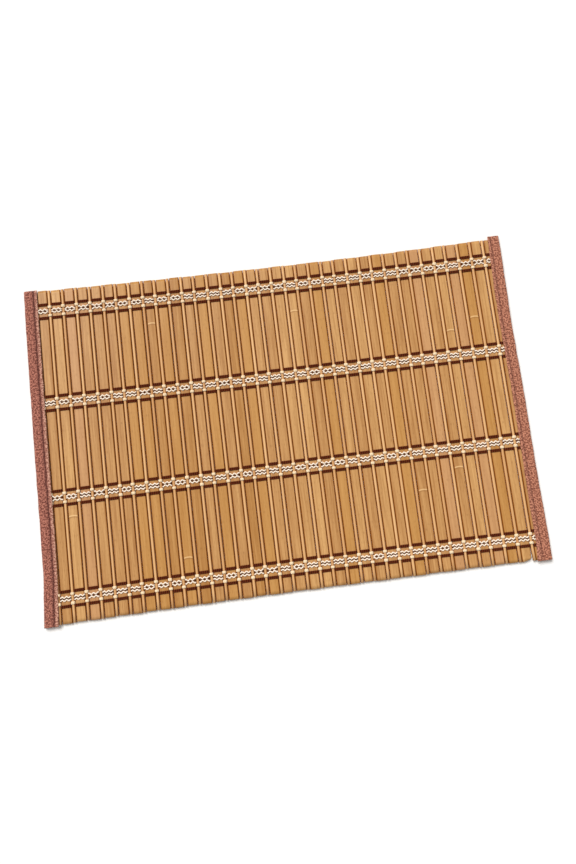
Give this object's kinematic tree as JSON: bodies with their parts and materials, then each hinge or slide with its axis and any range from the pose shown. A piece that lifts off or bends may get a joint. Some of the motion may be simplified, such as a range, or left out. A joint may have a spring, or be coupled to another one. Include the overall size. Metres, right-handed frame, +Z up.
{
  "type": "bamboo placemat",
  "caption": "Flat placemat of bamboo slats and thin sticks, woven together by bands of dark and pale yarn, with a cloth tape folded over each short side.",
  "frame": {"origin": "middle of the underside's bounding rectangle, on the surface that the mat lies on", "axes": "+X along the mat's long side, +Y along the slats towards the far edge, +Z up through the mat"},
  "size_m": [0.4542, 0.3072, 0.0044],
  "materials": {
    "slat": "planed bamboo, satin, with fine lengthwise grain and darker nodes",
    "stick": "smooth round bamboo, slightly glossy, paler than the slats",
    "brown_yarn": "soft dark maroon-brown yarn, matte",
    "pale_yarn": "tight white and cream yarn, matte",
    "tape": "woven cotton tape in dusty terracotta, matte"
  },
  "bodies": {
    "root": {"brown_yarn_1_far": "brown_yarn", "brown_yarn_1_near": "brown_yarn", "brown_yarn_2_far": "brown_yarn", "brown_yarn_2_near": "brown_yarn", "brown_yarn_3_far": "brown_yarn", "brown_yarn_3_near": "brown_yarn", "brown_yarn_4_far": "brown_yarn", "brown_yarn_4_near": "brown_yarn", "slat_01": "slat", "slat_02": "slat", "slat_03": "slat", "slat_04": "slat", "slat_05": "slat", "slat_06": "slat", "slat_07": "slat", "slat_08": "slat", "slat_09": "slat", "slat_10": "slat", "slat_11": "slat", "slat_12": "slat", "slat_13": "slat", "slat_14": "slat", "slat_15": "slat", "slat_16": "slat", "slat_17": "slat", "slat_18": "slat", "slat_19": "slat", "slat_20": "slat", "slat_21": "slat", "slat_22": "slat", "slat_23": "slat", "slat_24": "slat", "slat_25": "slat", "slat_26": "slat", "slat_27": "slat", "slat_28": "slat", "slat_29": "slat", "slat_30": "slat", "slat_31": "slat", "slat_32": "slat", "slat_33": "slat", "slat_34": "slat", "slat_35": "slat", "slat_36": "slat", "slat_37": "slat", "sticks_and_cream_yarns": "stick", "tape_left": "tape", "tape_right": "tape", "white_yarns_1": "pale_yarn", "white_yarns_2": "pale_yarn", "white_yarns_3": "pale_yarn", "white_yarns_4": "pale_yarn"}
  },
  "joints": []
}
